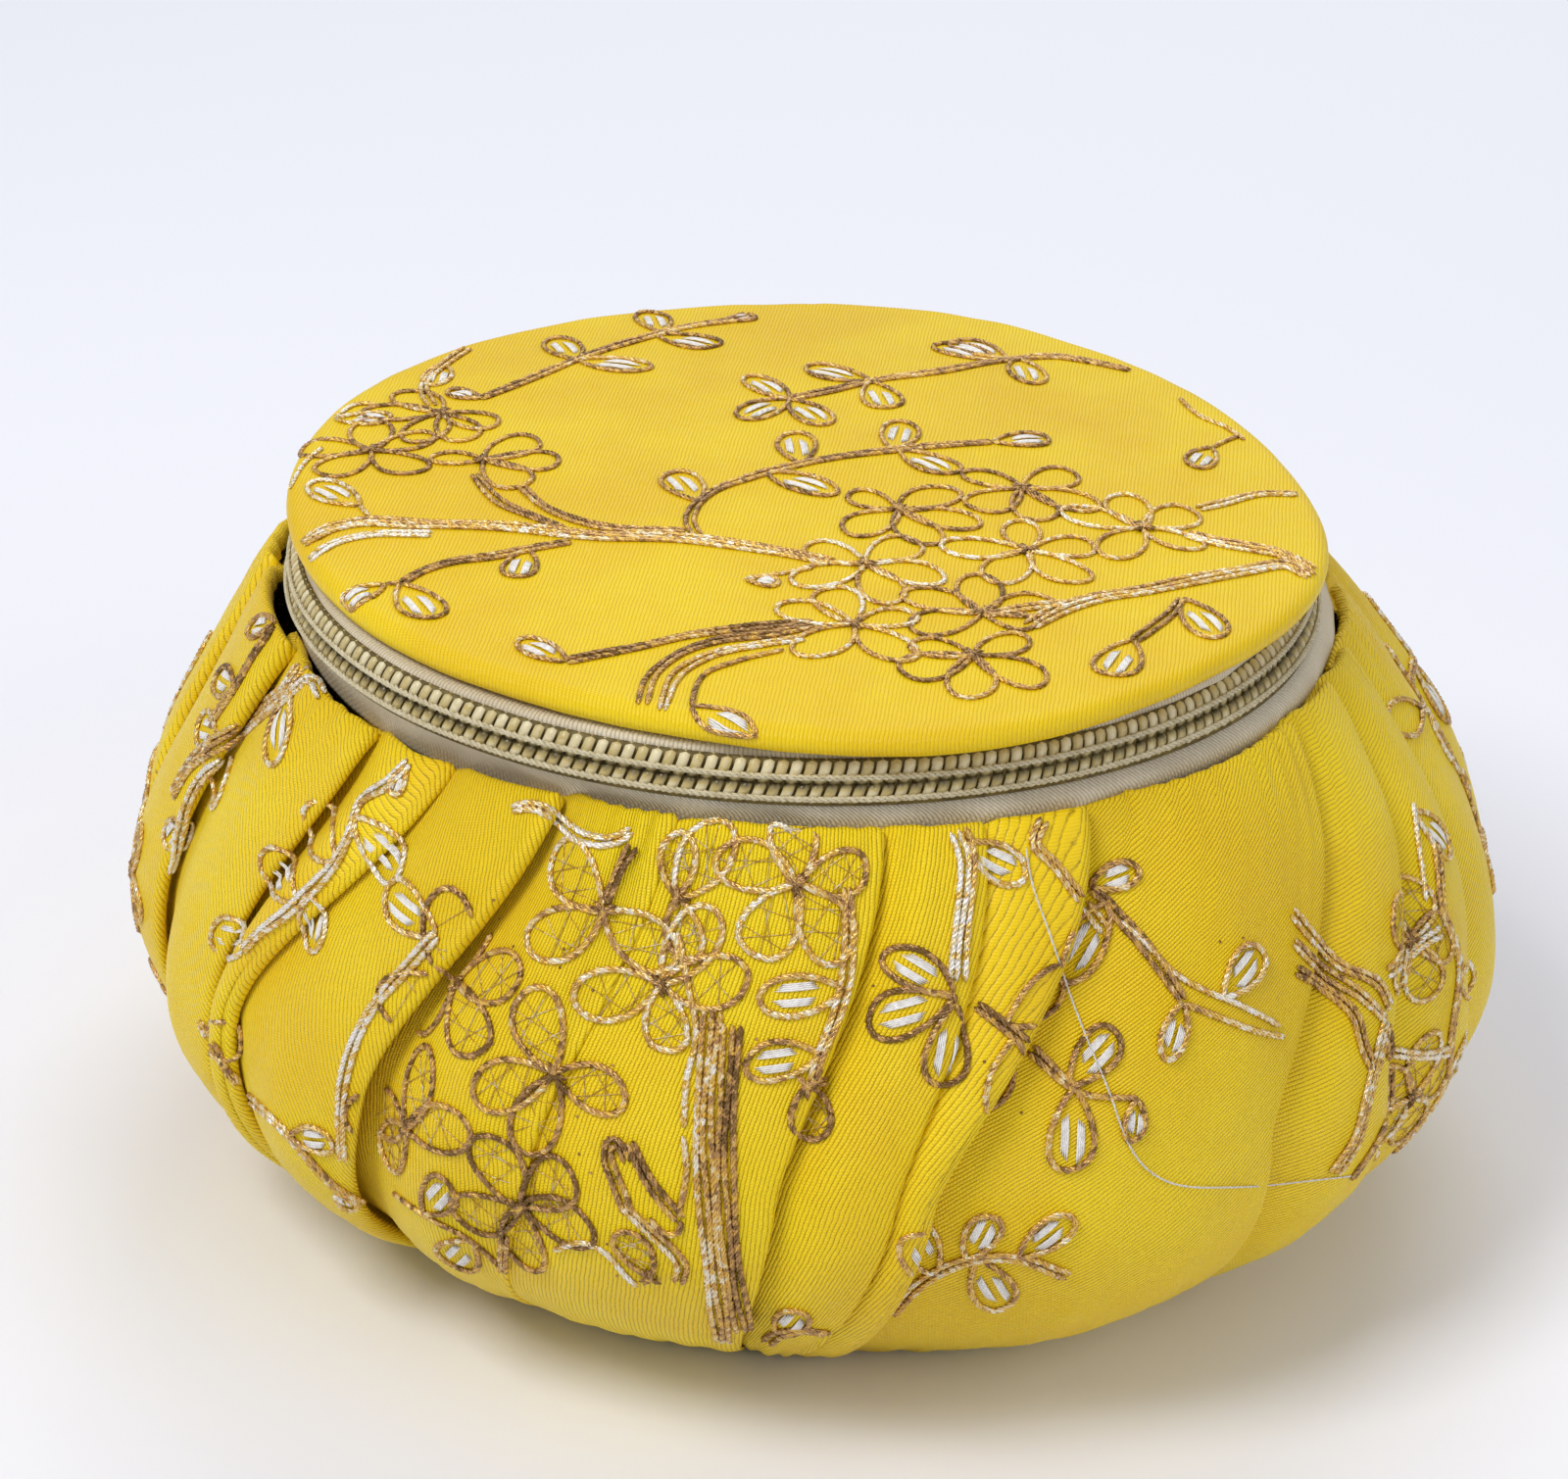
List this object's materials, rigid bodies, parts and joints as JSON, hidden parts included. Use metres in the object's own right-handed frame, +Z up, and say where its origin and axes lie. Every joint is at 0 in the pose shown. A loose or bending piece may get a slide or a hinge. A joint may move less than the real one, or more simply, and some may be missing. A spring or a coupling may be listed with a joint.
{
  "type": "potli bag",
  "caption": "Small round gathered cloth pouch with a pleated bulging body, a padded round lid and a coil zip between them.",
  "frame": {"origin": "centre of the flat underside of the base, on the surface that the bag stands on", "axes": "+Z up through the body, -Y towards the front where the zip's chain shows, +X to the right seen from the front"},
  "size_m": [0.1512, 0.1513, 0.0794],
  "materials": {
    "brocade": "ribbed yellow brocade with a soft sheen",
    "lid_satin": "fine yellow satin stretched over a padded board",
    "base_cloth": "plain yellow cloth over a stiff board",
    "zip_tape": "woven beige tape",
    "zip_coil": "olive-beige nylon coil",
    "slider_metal": "dull antique brass",
    "embroidery_thread": "metallic gold and taupe chain stitch",
    "satin_thread": "white satin stitch and loose thread"
  },
  "bodies": {
    "root": {"gathered_body": "brocade", "base_disc": "base_cloth", "zip_tape_lower": "zip_tape", "zip_coil_lower": "zip_coil", "zip_coil_upper": "zip_coil", "zip_tape_upper": "zip_tape", "back_hinge": "brocade", "zip_slider": "slider_metal", "lid_panel": "lid_satin"}
  },
  "joints": []
}
